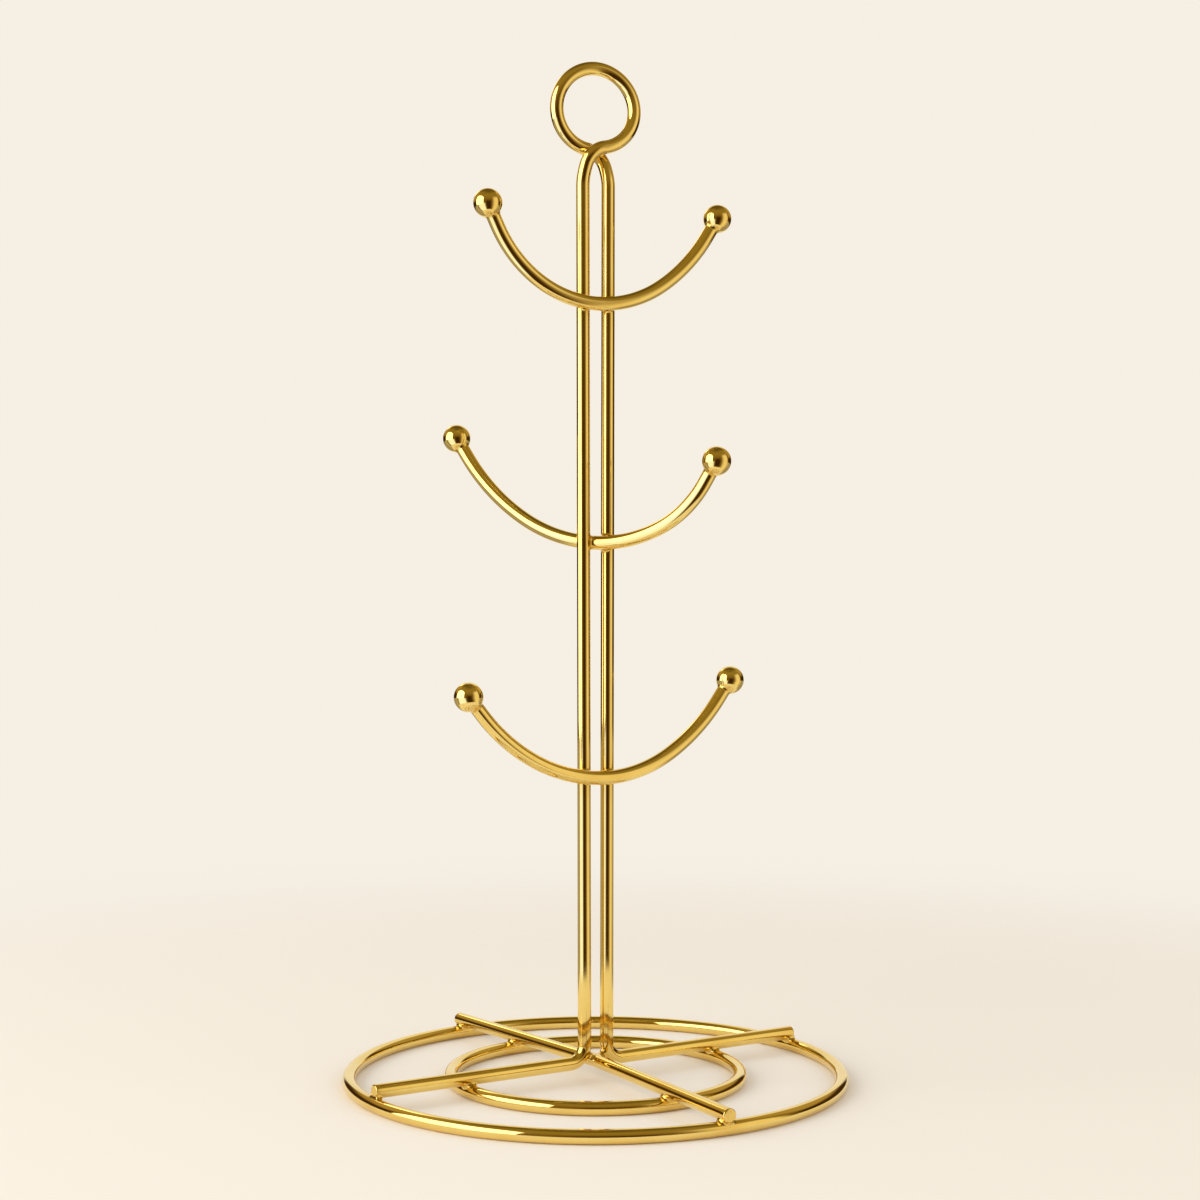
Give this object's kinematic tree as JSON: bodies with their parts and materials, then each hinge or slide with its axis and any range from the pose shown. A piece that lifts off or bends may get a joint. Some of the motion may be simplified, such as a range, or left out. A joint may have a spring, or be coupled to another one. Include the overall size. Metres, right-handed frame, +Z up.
{
  "type": "wire jewellery stand",
  "caption": "Freestanding jewellery tree of polished golden wire: ringed base with a spoke cross, hairpin mast with a crossing top loop and tiered U-shaped arms with ball ends.",
  "frame": {"origin": "middle of the base, on the table under the rings", "axes": "+Z up along the mast, -Y towards the viewer of the front, +X to the viewer's right"},
  "size_m": [0.1484, 0.1484, 0.3],
  "materials": {
    "gold_wire": "mirror-polished gold plating on round wire",
    "gold_ball": "mirror-polished gold plating on turned balls",
    "gold_weld": "gold plating over rounded weld and braze beads"
  },
  "bodies": {
    "root": {"outer_base_ring": "gold_wire", "inner_base_ring": "gold_wire", "mast_loop": "gold_wire", "cross_spoke": "gold_wire", "top_arm": "gold_wire", "middle_arm": "gold_wire", "lower_arm": "gold_wire", "top_left_ball": "gold_ball", "top_right_ball": "gold_ball", "middle_left_ball": "gold_ball", "middle_right_ball": "gold_ball", "lower_left_ball": "gold_ball", "lower_right_ball": "gold_ball", "loop_weld": "gold_weld", "top_arm_welds": "gold_weld", "middle_arm_welds": "gold_weld", "lower_arm_welds": "gold_weld", "hub_welds": "gold_weld", "outer_ring_welds": "gold_weld", "inner_ring_welds": "gold_weld", "ball_braze_rings": "gold_weld"}
  },
  "joints": []
}
